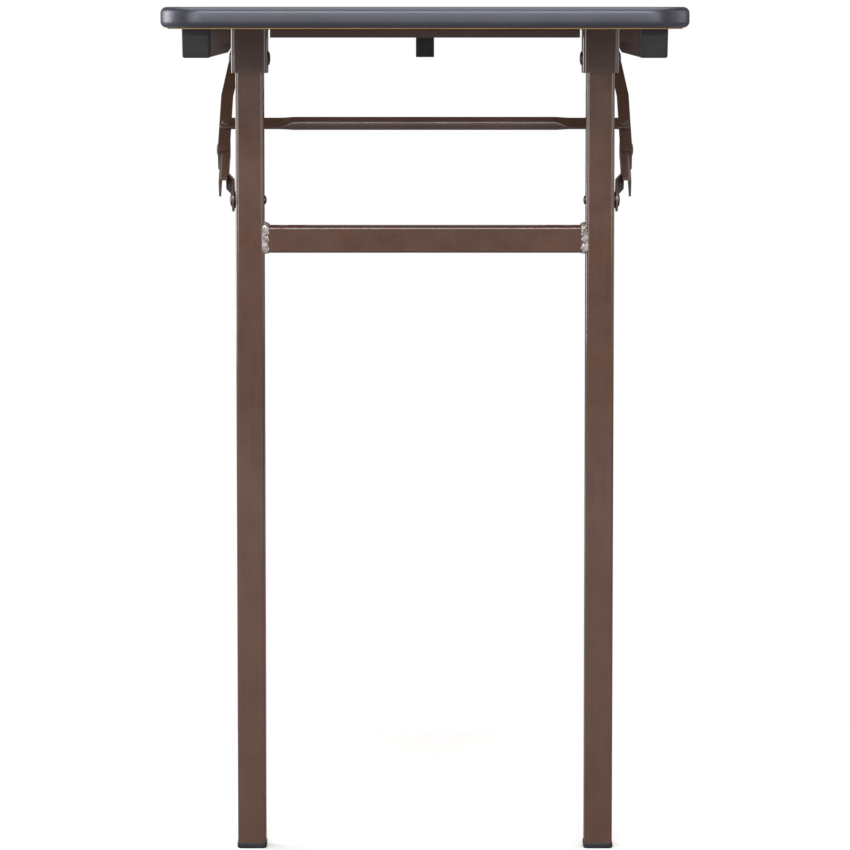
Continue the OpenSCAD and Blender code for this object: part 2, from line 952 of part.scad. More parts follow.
top_panel();
edge_band();
bumper(FRONT, LEFT);  // bumper_front_left
bumper(FRONT, RIGHT);  // bumper_front_right
bumper(BACK, LEFT);  // bumper_back_left
bumper(BACK, RIGHT);  // bumper_back_right
leg_catch(FRONT);  // leg_catch_front
leg_catch(BACK);  // leg_catch_back
leg_bracket(FRONT, LEFT);  // leg_bracket_front_left
leg_bracket(FRONT, RIGHT);  // leg_bracket_front_right
leg_bracket(BACK, LEFT);  // leg_bracket_back_left
leg_bracket(BACK, RIGHT);  // leg_bracket_back_right
cross_rail(FRONT);  // cross_rail_front
cross_rail(BACK);  // cross_rail_back
brace_bracket(FRONT, LEFT);  // brace_bracket_front_left
brace_bracket(FRONT, RIGHT);  // brace_bracket_front_right
brace_bracket(BACK, LEFT);  // brace_bracket_back_left
brace_bracket(BACK, RIGHT);  // brace_bracket_back_right
leg_bracket_screws();
brace_bracket_screws();
rail_screws_group();
catch_screws_group();
bumper_screws();
leg_pivot_rivets();
pivot_washers();
brace_pins();
leg(FRONT, LEFT);  // leg_front_left
leg(FRONT, RIGHT);  // leg_front_right
leg(BACK, LEFT);  // leg_back_left
leg(BACK, RIGHT);  // leg_back_right
crossbar(FRONT);  // crossbar_front
crossbar(BACK);  // crossbar_back
weld_beads(FRONT);  // weld_beads_front
weld_beads(BACK);  // weld_beads_back
foot_cap(FRONT, LEFT);  // foot_cap_front_left
foot_cap(FRONT, RIGHT);  // foot_cap_front_right
foot_cap(BACK, LEFT);  // foot_cap_back_left
foot_cap(BACK, RIGHT);  // foot_cap_back_right
leg_rivets(FRONT);  // leg_rivets_front
leg_rivets(BACK);  // leg_rivets_back
lower_link(FRONT, LEFT);  // lower_link_front_left
lower_link(FRONT, RIGHT);  // lower_link_front_right
lower_link(BACK, LEFT);  // lower_link_back_left
lower_link(BACK, RIGHT);  // lower_link_back_right
link_head(FRONT, LEFT);  // link_head_front_left
link_head(FRONT, RIGHT);  // link_head_front_right
link_head(BACK, LEFT);  // link_head_back_left
link_head(BACK, RIGHT);  // link_head_back_right
upper_link(FRONT, LEFT);  // upper_link_front_left
upper_link(FRONT, RIGHT);  // upper_link_front_right
upper_link(BACK, LEFT);  // upper_link_back_left
upper_link(BACK, RIGHT);  // upper_link_back_right
tie_bar(FRONT);  // tie_bar_front
tie_bar(BACK);  // tie_bar_back
tie_rivets(FRONT);  // tie_rivets_front
tie_rivets(BACK);  // tie_rivets_back
elbow_rivets(FRONT);  // elbow_rivets_front
elbow_rivets(BACK);  // elbow_rivets_back
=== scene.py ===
"""Finishes and studio for a folding table: bull-nosed plywood top on two leg frames that fold flat."""
import json
import math

import bmesh
import bpy
from bpy.props import FloatProperty, FloatVectorProperty, IntProperty, PointerProperty
from mathutils import Matrix, Vector, noise

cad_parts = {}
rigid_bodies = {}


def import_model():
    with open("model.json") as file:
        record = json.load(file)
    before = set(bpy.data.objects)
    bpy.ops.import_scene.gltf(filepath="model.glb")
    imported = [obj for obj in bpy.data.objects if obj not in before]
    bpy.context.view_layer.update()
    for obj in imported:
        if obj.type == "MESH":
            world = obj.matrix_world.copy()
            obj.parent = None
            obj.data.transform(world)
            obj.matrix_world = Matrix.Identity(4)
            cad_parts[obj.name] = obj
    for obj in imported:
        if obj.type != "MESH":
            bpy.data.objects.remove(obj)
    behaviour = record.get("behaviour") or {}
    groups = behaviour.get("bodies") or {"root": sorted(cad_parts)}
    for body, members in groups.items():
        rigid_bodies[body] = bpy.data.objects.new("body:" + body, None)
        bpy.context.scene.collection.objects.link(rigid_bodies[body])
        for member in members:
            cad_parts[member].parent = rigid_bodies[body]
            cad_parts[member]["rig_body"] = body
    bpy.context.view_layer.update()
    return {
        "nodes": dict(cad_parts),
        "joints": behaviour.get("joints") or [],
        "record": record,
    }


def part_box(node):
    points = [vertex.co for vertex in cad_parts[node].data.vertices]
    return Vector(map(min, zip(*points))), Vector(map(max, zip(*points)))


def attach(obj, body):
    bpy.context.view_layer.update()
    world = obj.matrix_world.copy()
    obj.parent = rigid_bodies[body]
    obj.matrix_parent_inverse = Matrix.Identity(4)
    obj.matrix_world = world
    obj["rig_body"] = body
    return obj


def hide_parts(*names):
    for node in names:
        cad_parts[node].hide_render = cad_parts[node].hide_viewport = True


for leftover in list(bpy.data.objects):
    bpy.data.objects.remove(leftover)
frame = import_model()

bl_info = {
    "name": "Folding Table Finishes",
    "version": (1, 0, 0),
    "blender": (4, 5, 0),
    "location": "View3D > Sidebar > Folding Table",
    "description": "Builds the finished surfaces of a folding table over its frame, and a studio round it",
    "category": "Object",
}

MM = 0.001
ENDS = ("front", "back")
SIDES = ("left", "right")
CORNERS = [f"{end}_{side}" for end in ENDS for side in SIDES]
SHOWN = ".shown"
X_AXIS = Vector((1, 0, 0))
UP = Vector((0, 0, 1))
SAME_POINT = 0.002 * MM
NEARLY_FLAT = math.radians(0.4)
TIE_CORNER = 4 * MM
TIE_ROUND_INSET = 25 * MM

BODY_OF = {node: piece["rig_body"] for node, piece in frame["nodes"].items()}
SLOT_OF = {row["node"]: row["material_slot"] for row in frame["record"]["subparts"]}
# The tie bars' rivets are painted with the braces
SLOT_OF.update({f"tie_rivets_{end}": "brown_fittings" for end in ENDS})
JOINT_AT = {joint["name"]: Vector(joint["pos_m"]) for joint in frame["joints"]}

PANEL_LOW, PANEL_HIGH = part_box("top_panel")
BAND_LOW, BAND_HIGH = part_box("edge_band")


def linear(colour):
    """A display colour from 0 to 1 as scene-linear light."""
    return tuple(c / 12.92 if c < 0.04045 else ((c + 0.055) / 1.055) ** 2.4 for c in colour)


def shade(slot, share=1.0):
    """The record's colour for a material slot, scene-linear, times a share."""
    row = next(m for m in frame["record"]["materials"] if m["slot"] == slot)
    return tuple(c * share for c in linear(row["base_color"]))


# ---- Settings ----


def length(name, description, millimetres):
    """A length setting, given in millimetres and kept in metres."""
    return FloatProperty(
        name=name, description=description, default=millimetres * MM, min=0.0, precision=5, unit="LENGTH"
    )


def tint(name, description, default):
    """A colour setting."""
    return FloatVectorProperty(
        name=name, description=description, default=default, size=3, min=0.0, max=1.0, subtype="COLOR"
    )


def lamp(name, description, watts):
    """A light's power, as a setting."""
    return FloatProperty(name=name, description=description, default=watts, min=0.0, unit="POWER")


def brightness(name, description, strength):
    """A strength without a unit, as a setting."""
    return FloatProperty(name=name, description=description, default=strength, min=0.0)


class FoldingTableShapes(bpy.types.PropertyGroup):
    """Sizes of the detail that the finished surfaces add to the frame."""

    panel_corner: length("Panel corner", "Corner radius of the plywood, seen from above", 32)
    panel_arris: length("Panel arris", "Rounding along the plywood's edges", 0.4)
    nose_radius: length("Nose radius", "Radius of the edging's bull nose", 5.5)
    band_ripple: length("Band ripple", "How much the edging's face wanders inwards", 0.12)
    band_seam: length("Band seam", "Gap where the edging's two ends meet", 0.4)
    sheet_round: length("Sheet rounding", "Rounding on the cut edges of pressed steel", 0.35)
    tube_round: length("Tube rounding", "Rounding on the cut ends of tubes", 0.25)
    tube_corner: length("Tube corner", "Corner radius of the square tubes", 3)
    moulded_round: length("Moulded rounding", "Rounding on the catches' edges", 0.8)
    catch_lip: length("Catch lip", "How far each jaw's lip stands into the catch", 1.6)
    bumper_draft: length("Bumper draft", "How much a bumper narrows on each side towards its foot", 0.5)
    bumper_bore: length("Bumper bore", "Radius of the bumper's counterbore", 5)
    bumper_floor: length("Bumper floor", "Thickness left over the bumper's counterbore", 6)
    cap_edge: length("Cap edge", "Rounding under the foot caps", 1.6)
    cap_dish: length("Cap dish", "Depth of the shallow dish under a foot cap", 0.7)
    weld_reach: length("Weld reach", "Reach of the weld along the crossbar", 4.6)
    weld_pitch: length("Weld pitch", "Distance from ripple to ripple along the weld", 7)
    weld_ripple: length("Weld ripple", "Depth of the weld's ripples", 0.55)
    screw_slot: length("Screw recess", "Width of the cross recess in the screws", 0.9)
    tie_flat: length("Tie flat", "Thickness of the tie bar's flattened ends", 3)
    tie_taper: length("Tie taper", "Length over which the tie bar turns flat", 13)
    turned_steps: IntProperty(name="Turned steps", description="Steps round each rivet", default=36, min=12)


class FoldingTableColours(bpy.types.PropertyGroup):
    """Colours of the finishes."""

    wood: tint("Wood", "Pale wood of the plywood", shade("plywood"))
    grain: tint("Grain", "Darker grain of the plywood", shade("plywood", 0.55))
    vinyl: tint("Vinyl", "Edging", (0.026, 0.026, 0.038))
    tube: tint("Tube enamel", "Enamel on the leg frames", (0.092, 0.0415, 0.0265))
    fittings: tint("Fitting enamel", "Enamel on the brackets and braces", (0.088, 0.05, 0.042))
    plastic: tint("Plastic", "Bumpers, catches and foot caps", shade("black_plastic", 0.45))
    rivet: tint("Rivets", "Rivets and washers", shade("zinc_rivets", 0.55))
    screw: tint("Screws", "Screws", shade("zinc_screws"))
    weld: tint("Weld", "Bare weld metal", (0.56, 0.52, 0.5))


class FoldingTableStudio(bpy.types.PropertyGroup):
    """Camera and light."""

    distance: length("Distance", "From the front legs to the camera", 4000)
    height: length("Height", "Height of the camera above the floor", 762.6)
    pitch: FloatProperty(
        name="Pitch", description="How far it looks down", default=math.radians(5.368), subtype="ANGLE"
    )
    lens: FloatProperty(name="Lens", description="Focal length", default=188.8, unit="CAMERA")
    near_half: length("Depth seen", "How far past the front legs the main view reaches", 700)
    room: brightness("Room light", "Light from all round", 0.16)
    bounce: brightness("Bounce", "Light that the floor sends back up", 0.3)
    glow: brightness("Floor glow", "Light that the floor gives to the eye", 0.22)
    overhead: lamp("Overhead", "Softbox over the table", 80)
    side: lamp("Sides", "Softbox on each side", 12)
    left_rim: lamp("Left rim", "Softbox that lights the left edges", 54)
    right_rim: lamp("Right rim", "Softbox that lights the right edges", 9)
    strip: lamp("Strip", "Long softbox that reaches under the top", 40)
    key: lamp("Key", "Wide softbox over the camera", 90)
    low_left: lamp("Low left", "Low softbox to the left of the camera", 34)
    low_right: lamp("Low right", "Low softbox to the right of the camera", 20)
    behind: lamp("Behind", "Softbox past the far end", 5)


def shapes():
    return bpy.context.scene.folding_table_shapes


def colours():
    return bpy.context.scene.folding_table_colours


def studio():
    return bpy.context.scene.folding_table_studio


# ---- Mesh work ----


def put(bm, node, crease=35):
    """Makes the piece that stands for a CAD node, from a finished bmesh."""
    bmesh.ops.recalc_face_normals(bm, faces=bm.faces)
    mesh = bpy.data.meshes.new(node + SHOWN)
    bm.to_mesh(mesh)
    bm.free()
    mesh.shade_smooth()
    mesh.set_sharp_from_angle(angle=math.radians(crease))
    piece = bpy.data.objects.new(node + SHOWN, mesh)
    bpy.context.scene.collection.objects.link(piece)
    mesh.materials.append(finish(SLOT_OF[node]))
    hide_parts(node)
    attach(piece, BODY_OF[node])
    return piece


def merged(node):
    """A CAD node's surface as a bmesh, with its points joined up."""
    bm = bmesh.new()
    bm.from_mesh(frame["nodes"][node].data)
    bmesh.ops.remove_doubles(bm, verts=bm.verts, dist=SAME_POINT)
    return bm


def round_edges(piece, radius, segments, crease):
    """Rounds the edges that turn by more than a crease angle in degrees, and keeps the flats flat."""
    bevel = piece.modifiers.new("rounding", "BEVEL")
    bevel.width = radius
    bevel.segments = segments
    bevel.limit_method = "ANGLE"
    bevel.angle_limit = math.radians(crease)
    piece.modifiers.new("flat faces", "WEIGHTED_NORMAL")


def put_softened(node, radius, crease=35):
    """Makes a piece from a CAD node's own surface, with its sharp edges rounded."""
    bm = merged(node)
    bmesh.ops.dissolve_limit(bm, angle_limit=NEARLY_FLAT, verts=bm.verts, edges=bm.edges)
    round_edges(put(bm, node, crease=180), radius, 2, crease)


def solids_of(node):
    """The points of each separate solid in a CAD node, sorted from left to right and front to back."""
    bm = merged(node)
    found, waiting = [], set(bm.verts)
    while waiting:
        group, edge_of_group = set(), [waiting.pop()]
        while edge_of_group:
            vert = edge_of_group.pop()
            group.add(vert)
            near = {edge.other_vert(vert) for edge in vert.link_edges} & waiting
            waiting -= near
            edge_of_group.extend(near)
        found.append([vert.co.copy() for vert in group])
    bm.free()
    return sorted(found, key=lambda points: [round(c, 4) for c in middle(points)])


def corners_of(points):
    """Lowest and highest corner of some points."""
    return tuple(Vector([end(p[i] for p in points) for i in range(3)]) for end in (min, max))


def middle(points):
    """The middle of the box round some points."""
    low, high = corners_of(points)
    return (low + high) / 2


def outward(point):
    """The direction across the table from its middle to the side that a point is on."""
    return X_AXIS if point.x > 0 else -X_AXIS


def square_to(axis):
    """Two directions square to an axis."""
    first = axis.cross(UP if abs(axis.z) < 0.9 else X_AXIS).normalized()
    return first, axis.cross(first).normalized()


def weave(bm, loops):
    """Joins each loop of points to the next with a band of faces."""
    for a, b in zip(loops, loops[1:]):
        for i in range(len(a)):
            j = (i + 1) % len(a)
            bm.faces.new((a[i], a[j], b[j], b[i]))


def skin(bm, rings):
    """Skins rings of points, each with the same count, and closes the first and last with a face."""
    loops = [[bm.verts.new(p) for p in ring] for ring in rings]
    weave(bm, loops)
    bm.faces.new(loops[0])
    bm.faces.new(list(reversed(loops[-1])))


def turn(bm, centre, axis, outline):
    """Turns an outline of (along, radius) about an axis. The outline runs from end to end."""
    first, second = square_to(axis)
    steps = shapes().turned_steps
    angles = [math.tau * i / steps for i in range(steps)]
    spokes = [first * math.cos(angle) + second * math.sin(angle) for angle in angles]
    skin(bm, [[centre + axis * along + spoke * radius for spoke in spokes] for along, radius in outline])


def dome(rim, top, radius, fullness=0.78, steps=7):
    """An outline from the middle of a domed head at top out to its rim. Fullness is the dome's share."""
    shoulder = rim + (top - rim) * (1 - fullness)
    outline = []
    for i in range(steps + 1):
        angle = math.radians(4) + (math.pi / 2 - math.radians(4)) * i / steps
        outline.append((shoulder + (top - shoulder) * math.cos(angle), radius * math.sin(angle)))
    return outline + [(rim, radius * 0.985)]


def flat_head(rim, top, radius, rounding=0.25 * MM):
    """An outline from the middle of a flat head at top out to its rim, with its edges rounded."""
    way = 1 if top > rim else -1
    return [
        (top, radius * 0.3),
        (top, radius - 2 * rounding),
        (top - way * rounding * 0.3, radius - rounding * 0.7),
        (top - way * rounding, radius),
        (rim + way * rounding, radius),
        (rim, radius - rounding),
    ]


def rounded_outline(half_x, half_y, radius, arc_steps=6):
    """Points round a rectangle with round corners, about the origin, anticlockwise."""
    points = []
    for quarter, (sx, sy) in enumerate(((1, 1), (-1, 1), (-1, -1), (1, -1))):
        for i in range(arc_steps + 1):
            angle = math.pi / 2 * (quarter + i / arc_steps)
            x = sx * (half_x - radius) + radius * math.cos(angle)
            y = sy * (half_y - radius) + radius * math.sin(angle)
            points.append((x, y))
    return points


def level(outline, centre, z):
    """An outline as points at one height."""
    return [Vector((centre.x + x, centre.y + y, z)) for x, y in outline]


def cut(piece, cutter):
    """Cuts one object out of another for good, and takes the cutter away."""
    tool = piece.modifiers.new("cut", "BOOLEAN")
    tool.operation = "DIFFERENCE"
    tool.solver = "EXACT"
    tool.object = cutter
    seen = piece.evaluated_get(bpy.context.evaluated_depsgraph_get())
    mesh = bpy.data.meshes.new_from_object(seen)
    piece.modifiers.remove(tool)
    piece.data = mesh
    bpy.data.objects.remove(cutter)
    return piece


def loose_object(bm, name):
    """An object that is only used while a piece is made."""
    bmesh.ops.recalc_face_normals(bm, faces=bm.faces)
    mesh = bpy.data.meshes.new(name)
    bm.to_mesh(mesh)
    bm.free()
    made = bpy.data.objects.new(name, mesh)
    bpy.context.scene.collection.objects.link(made)
    return made


# ---- Finishes ----


class Recipe:
    """A new material, with short calls that add its texture nodes."""

    def __init__(self, name):
        self.material = bpy.data.materials.new(name)
        self.material.use_nodes = True
        self.tree = self.material.node_tree
        self.shader = self.tree.nodes["Principled BSDF"]
        self.here = self.tree.nodes.new("ShaderNodeTexCoord").outputs["Object"]

    def join(self, source, target):
        self.tree.links.new(source, target)

    def set(self, **values):
        """Sets the shader's own sockets, named with _ for a space."""
        for name, value in values.items():
            self.shader.inputs[name.replace("_", " ")].default_value = value

    def stretched(self, x, y, z):
        """Coordinates multiplied along each axis."""
        node = self.tree.nodes.new("ShaderNodeMapping")
        node.inputs["Scale"].default_value = (x, y, z)
        self.join(self.here, node.inputs["Vector"])
        return node.outputs["Vector"]

    def noise(self, scale, detail=2.0, roughness=0.5, distortion=0.0, where=None):
        node = self.tree.nodes.new("ShaderNodeTexNoise")
        node.inputs["Scale"].default_value = scale
        node.inputs["Detail"].default_value = detail
        node.inputs["Roughness"].default_value = roughness
        node.inputs["Distortion"].default_value = distortion
        self.join(where or self.here, node.inputs["Vector"])
        return node.outputs["Fac"]

    def waves(self, scale, distortion, detail_scale, where):
        node = self.tree.nodes.new("ShaderNodeTexWave")
        node.inputs["Scale"].default_value = scale
        node.inputs["Distortion"].default_value = distortion
        node.inputs["Detail"].default_value = 3.0
        node.inputs["Detail Scale"].default_value = detail_scale
        self.join(where, node.inputs["Vector"])
        return node.outputs["Fac"]

    def spread(self, value, low, high, to_low=0.0, to_high=1.0):
        """Maps low to high onto to_low to to_high, and holds the ends."""
        node = self.tree.nodes.new("ShaderNodeMapRange")
        self.join(value, node.inputs["Value"])
        for name, number in (("From Min", low), ("From Max", high), ("To Min", to_low), ("To Max", to_high)):
            node.inputs[name].default_value = number
        return node.outputs["Result"]

    def sum(self, operation, first, second):
        """One step of arithmetic. The second value may be a plain number."""
        node = self.tree.nodes.new("ShaderNodeMath")
        node.operation = operation
        self.join(first, node.inputs[0])
        if isinstance(second, (int, float)):
            node.inputs[1].default_value = second
        else:
            self.join(second, node.inputs[1])
        return node.outputs["Value"]

    def times(self, first, second):
        return self.sum("MULTIPLY", first, second)

    def plus(self, first, second):
        return self.sum("ADD", first, second)

    def blended(self, share, first, second):
        """From the first colour to the second, by share. Each is a colour or a node's output."""
        node = self.tree.nodes.new("ShaderNodeMix")
        node.data_type = "RGBA"
        self.join(share, node.inputs["Factor"])
        sockets = [s for s in node.inputs if s.type == "RGBA"]
        for socket, colour in zip(sockets, (first, second)):
            if isinstance(colour, bpy.types.NodeSocket):
                self.join(colour, socket)
            else:
                socket.default_value = (*colour, 1.0)
        return next(s for s in node.outputs if s.type == "RGBA")

    def veiled(self, body, value, low, high, share, colour):
        """A colour laid thinly over a body where a value runs from low to high."""
        return self.blended(self.times(self.spread(value, low, high), share), body, colour)

    def edges(self, radius=0.0005):
        """1 along edges and 0 on flat faces: how far the normal turns when the edge is rounded."""
        rounded = self.tree.nodes.new("ShaderNodeBevel")
        rounded.samples = 4
        rounded.inputs["Radius"].default_value = radius
        flat = self.tree.nodes.new("ShaderNodeNewGeometry")
        node = self.tree.nodes.new("ShaderNodeVectorMath")
        node.operation = "DOT_PRODUCT"
        self.join(rounded.outputs["Normal"], node.inputs[0])
        self.join(flat.outputs["Normal"], node.inputs[1])
        return self.spread(node.outputs["Value"], 0.98, 0.8)

    def bumps(self, height, distance, strength=1.0):
        node = self.tree.nodes.new("ShaderNodeBump")
        node.inputs["Distance"].default_value = distance
        node.inputs["Strength"].default_value = strength
        self.join(height, node.inputs["Height"])
        self.join(node.outputs["Normal"], self.shader.inputs["Normal"])

    def colour(self, source):
        self.join(source, self.shader.inputs["Base Color"])

    def roughness(self, source):
        self.join(source, self.shader.inputs["Roughness"])


def scaled(colour, share):
    """A colour times a share, kept below white."""
    return tuple(min(1.0, c * share) for c in colour)


def plywood(name):
    """Rotary-cut birch under a clear satin lacquer."""
    recipe = Recipe(name)
    pale = tuple(colours().wood)
    dark = tuple(colours().grain)
    figure = recipe.waves(5.5, 9.0, 0.8, recipe.stretched(1.0, 0.09, 1.0))
    streaks = recipe.noise(1.0, 4.0, 0.6, 0.2, recipe.stretched(230, 5, 230))
    tone = recipe.noise(1.0, 2.0, 0.5, 0.0, recipe.stretched(9, 1.4, 9))
    pores = recipe.noise(1.0, 1.0, 0.5, 0.0, recipe.stretched(1500, 55, 1500))
    body = recipe.veiled(pale, figure, 0.25, 1.0, 0.3, dark)
    body = recipe.veiled(body, streaks, 0.42, 0.75, 0.4, dark)
    body = recipe.veiled(body, tone, 0.4, 0.7, 0.35, scaled(pale, 1.25))
    body = recipe.veiled(body, pores, 0.64, 0.74, 0.45, scaled(dark, 0.45))
    recipe.colour(body)
    recipe.roughness(recipe.spread(recipe.noise(14, 3.0), 0.3, 0.7, 0.34, 0.48))
    recipe.bumps(recipe.plus(streaks, pores), 0.00008)
    recipe.set(Coat_Weight=0.3, Coat_Roughness=0.22, Specular_IOR_Level=0.4)
    return recipe.material


def vinyl_edging(name):
    """Satin slate-grey vinyl with a fine grain, handling marks and a few pale scuffs."""
    recipe = Recipe(name)
    base = tuple(colours().vinyl)
    smudge = recipe.noise(9, 4.0, 0.62, 0.6)
    along = recipe.noise(1.0, 3.0, 0.55, 0.3, recipe.stretched(18, 18, 260))
    scuffs = recipe.noise(1.0, 3.0, 0.7, 1.2, recipe.stretched(26, 26, 900))
    body = recipe.blended(recipe.spread(smudge, 0.3, 0.72), scaled(base, 0.8), scaled(base, 1.3))
    warm = (base[0] * 1.35, base[1] * 1.12, base[2] * 0.95)
    body = recipe.veiled(body, along, 0.45, 0.75, 0.5, warm)
    marks = recipe.times(recipe.spread(scuffs, 0.66, 0.74), recipe.spread(recipe.noise(40), 0.5, 0.7))
    body = recipe.blended(recipe.times(marks, 0.5), body, scaled(base, 3.2))
    recipe.colour(body)
    recipe.roughness(recipe.spread(smudge, 0.25, 0.75, 0.3, 0.42))
    grain = recipe.noise(1700, 2.0, 0.6)
    recipe.bumps(recipe.plus(grain, recipe.times(smudge, 2.0)), 0.00006)
    recipe.set(Specular_IOR_Level=0.9, Specular_Tint=(0.86, 0.88, 1.0, 1.0))
    return recipe.material


def enamel(name, base, gloss_low, gloss_high):
    """Baked enamel: slight orange peel, cloudy tone, specks, and edges where it has rubbed thin."""
    recipe = Recipe(name)
    cloud = recipe.noise(24, 4.0, 0.6, 0.4)
    drawn = recipe.noise(1.0, 3.0, 0.6, 0.0, recipe.stretched(420, 420, 14))
    speck = recipe.noise(1900, 1.0, 0.5)
    body = recipe.blended(recipe.spread(cloud, 0.3, 0.7), scaled(base, 0.86), scaled(base, 1.16))
    body = recipe.veiled(body, drawn, 0.45, 0.8, 0.35, scaled(base, 1.45))
    body = recipe.veiled(body, speck, 0.66, 0.72, 0.3, scaled(base, 2.1))
    chips = recipe.spread(recipe.noise(260, 4.0, 0.7), 0.52, 0.62)
    worn = recipe.times(recipe.times(recipe.edges(), chips), 0.45)
    body = recipe.blended(worn, body, (0.42, 0.36, 0.33))
    recipe.colour(body)
    recipe.roughness(recipe.spread(recipe.noise(30, 3.0, 0.6), 0.3, 0.7, gloss_low, gloss_high))
    peel = recipe.noise(330, 2.0, 0.5)
    recipe.bumps(recipe.plus(peel, recipe.times(speck, 0.3)), 0.00004)
    recipe.set(Specular_IOR_Level=0.4, Coat_Weight=1.0, Coat_Roughness=0.07)
    return recipe.material


def brown_tube(name):
    return enamel(name, tuple(colours().tube), 0.26, 0.38)


def brown_fittings(name):
    return enamel(name, tuple(colours().fittings), 0.3, 0.44)


def black_plastic(name):
    """Moulded black plastic with a fine spark-eroded texture and scuffed edges."""
    recipe = Recipe(name)
    base = tuple(colours().plastic)
    dust = recipe.noise(55, 4.0, 0.65)
    body = recipe.blended(recipe.spread(dust, 0.35, 0.75), scaled(base, 0.8), scaled(base, 1.4))
    body = recipe.blended(recipe.times(recipe.edges(), 0.35), body, scaled(base, 3.0))
    recipe.colour(body)
    recipe.roughness(recipe.spread(dust, 0.3, 0.7, 0.42, 0.58))
    recipe.bumps(recipe.noise(2300, 3.0, 0.7), 0.00008)
    recipe.set(Specular_IOR_Level=0.45)
    return recipe.material


def plated(name, base, dull):
    """Zinc plate, cloudy with a thin dull film, darker where dirt or paint has caught."""
    recipe = Recipe(name)
    cloud = recipe.noise(320, 4.0, 0.65)
    grime = recipe.noise(140, 3.0, 0.7, 0.5)
    body = recipe.blended(recipe.spread(cloud, 0.3, 0.7), scaled(base, 0.75), scaled(base, 1.15))
    body = recipe.veiled(body, grime, 0.5, 0.66, dull, scaled(base, 0.3))
    recipe.colour(body)
    recipe.roughness(recipe.spread(cloud, 0.3, 0.7, 0.3, 0.5))
    recipe.bumps(recipe.noise(900, 3.0, 0.6), 0.00006)
    recipe.set(Metallic=0.85)
    return recipe.material


def zinc_rivets(name):
    return plated(name, tuple(colours().rivet), 0.7)


def zinc_screws(name):
    return plated(name, tuple(colours().screw), 0.35)


def weld(name):
    """Bright weld metal with heat-tinted hollows."""
    recipe = Recipe(name)
    base = tuple(colours().weld)
    heat = recipe.noise(240, 3.0, 0.6, 0.4)
    body = recipe.blended(recipe.spread(heat, 0.4, 0.62), scaled(base, 1.1), tuple(colours().tube))
    recipe.colour(body)
    recipe.roughness(recipe.spread(heat, 0.3, 0.7, 0.18, 0.36))
    recipe.bumps(recipe.noise(700, 3.0, 0.6), 0.0001)
    recipe.set(Metallic=0.55, Coat_Weight=0.5, Coat_Roughness=0.1)
    return recipe.material


FINISHES = {
    "plywood": plywood,
    "vinyl_edging": vinyl_edging,
    "brown_tube": brown_tube,
    "brown_fittings": brown_fittings,
    "black_plastic": black_plastic,
    "zinc_rivets": zinc_rivets,
    "zinc_screws": zinc_screws,
    "weld": weld,
}


def finish(slot):
    """A slot's finish, made when first asked for. The frame's plain one has the slot's own name."""
    name = slot + "_finish"
    return bpy.data.materials.get(name) or FINISHES[slot](name)


# ---- The top ----


class FOLDINGTABLE_OT_panel(bpy.types.Operator):
    """Make the plywood panel"""

    bl_idname = "folding_table.panel"
    bl_label = "Plywood panel"

    def execute(self, context):
        centre = (PANEL_LOW + PANEL_HIGH) / 2
        half = (PANEL_HIGH - PANEL_LOW) / 2
        arris = shapes().panel_arris
        corner = shapes().panel_corner
        rings = []
        for inset, z in (
            (arris, PANEL_LOW.z),
            (arris * 0.3, PANEL_LOW.z + arris * 0.3),
            (0.0, PANEL_LOW.z + arris),
            (0.0, PANEL_HIGH.z - arris),
            (arris * 0.3, PANEL_HIGH.z - arris * 0.3),
            (arris, PANEL_HIGH.z),
        ):
            outline = rounded_outline(half.x - inset, half.y - inset, corner - inset, 16)
            rings.append(level(outline, centre, z))
        bm = bmesh.new()
        skin(bm, rings)
        put(bm, "top_panel", crease=60)
        return {"FINISHED"}


def band_path(half_x, half_y, radius, run_step, arc_steps):
    """Points and outward directions round the panel, from the middle of the left side and back to it."""
    path = []
    corners = ((-1, -1, 180), (1, -1, 270), (1, 1, 0), (-1, 1, 90))
    start = Vector((-half_x, 0))
    for sx, sy, first_angle in corners:
        middle_of_arc = Vector((sx * (half_x - radius), sy * (half_y - radius)))
        arc = []
        for i in range(arc_steps + 1):
            angle = math.radians(first_angle + 90 * i / arc_steps)
            out = Vector((math.cos(angle), math.sin(angle)))
            arc.append((middle_of_arc + out * radius, out))
        steps = max(1, round((arc[0][0] - start).length / run_step))
        path += [(start.lerp(arc[0][0], i / steps), arc[0][1]) for i in range(steps)]
        path += arc[:-1]
        start = arc[-1][0]
    end = Vector((-half_x, 0))
    steps = max(1, round((end - start).length / run_step))
    path += [(start.lerp(end, i / steps), Vector((-1, 0))) for i in range(steps + 1)]
    return path


